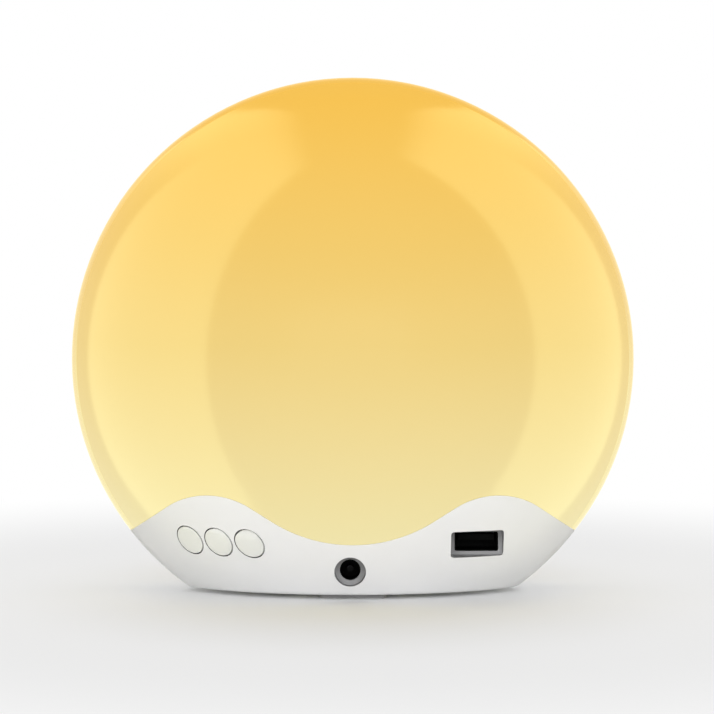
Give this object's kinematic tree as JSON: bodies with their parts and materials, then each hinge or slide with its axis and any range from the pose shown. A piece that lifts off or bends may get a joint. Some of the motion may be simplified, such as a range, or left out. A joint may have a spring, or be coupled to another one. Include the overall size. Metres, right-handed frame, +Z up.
{
  "type": "sunrise alarm clock",
  "caption": "Round translucent sunrise lamp and alarm clock on a white base with a wave-shaped edge, round keys, power inlet and charging socket at the back.",
  "frame": {"origin": "middle of the footprint box, on the surface that the clock stands on", "axes": "+Z up; the clock face looks along -Y, the sockets and keys look along +Y"},
  "size_m": [0.175, 0.0938, 0.1596],
  "materials": {
    "shade_plastic": "gloss, translucent, lit from inside",
    "base_plastic": "satin gloss white",
    "inner_white": "matte white reflector",
    "key_plastic": "satin warm white",
    "bezel_grey": "fine matte",
    "socket_steel": "plated sheet",
    "socket_black": "matte black",
    "pin_metal": "plated",
    "cell_steel": "brushed",
    "foot_rubber": "soft matte",
    "board_green": "solder mask",
    "board_white": "white coated",
    "light_dies": "phosphor",
    "cone_paper": "pressed paper",
    "magnet_grey": "ferrite",
    "ribbon_grey": "flat cable",
    "screw_steel": "zinc plated"
  },
  "bodies": {
    "clock": {"base_housing": "base_plastic", "base_screws": "screw_steel", "board_parts": "socket_black", "board_screws": "screw_steel", "bottom_plate": "base_plastic", "cell_clip": "pin_metal", "charge_bezel": "bezel_grey", "charge_board": "board_green", "charge_screws": "screw_steel", "charge_shell": "socket_steel", "charge_tongue": "socket_black", "coin_cell": "cell_steel", "digit_block": "socket_black", "display_board": "board_green", "display_hood": "socket_black", "frame_screws": "screw_steel", "front_feet": "foot_rubber", "front_shade": "shade_plastic", "inlet_bezel": "bezel_grey", "inlet_jack": "socket_black", "inlet_pin": "pin_metal", "inner_frame": "inner_white", "key_board": "board_green", "key_switches": "socket_black", "lamp_board": "board_white", "lamp_lights": "light_dies", "lamp_ribbon": "ribbon_grey", "light_deck": "inner_white", "main_board": "board_green", "plate_screws": "screw_steel", "rear_foot": "foot_rubber", "rear_shade": "shade_plastic", "speaker_cone": "cone_paper", "speaker_frame": "socket_steel", "speaker_magnet": "magnet_grey", "touch_board": "board_green", "touch_springs": "pin_metal"},
    "key_1": {"button_cap_1": "key_plastic", "switch_plunger_1": "socket_black"},
    "key_2": {"button_cap_2": "key_plastic", "switch_plunger_2": "socket_black"},
    "key_3": {"button_cap_3": "key_plastic", "switch_plunger_3": "socket_black"},
    "door": {"battery_door": "base_plastic", "door_screw": "screw_steel"}
  },
  "joints": [
    {"name": "key_1_press", "type": "slide", "parent": "clock", "child": "key_1", "axis": [-0.421, -0.9029, 0.0872], "range_m": [0, 0.0005], "stiffness_N_per_m": 800, "springref_m": -0.0005},
    {"name": "key_2_press", "type": "slide", "parent": "clock", "child": "key_2", "axis": [-0.421, -0.9029, 0.0872], "range_m": [0, 0.0005], "stiffness_N_per_m": 800, "springref_m": -0.0005},
    {"name": "key_3_press", "type": "slide", "parent": "clock", "child": "key_3", "axis": [-0.421, -0.9029, 0.0872], "range_m": [0, 0.0005], "stiffness_N_per_m": 800, "springref_m": -0.0005},
    {"name": "battery_door_off", "type": "slide", "parent": "clock", "child": "door", "axis": [0, 0, -1], "range_m": [0, 0.012]}
  ]
}
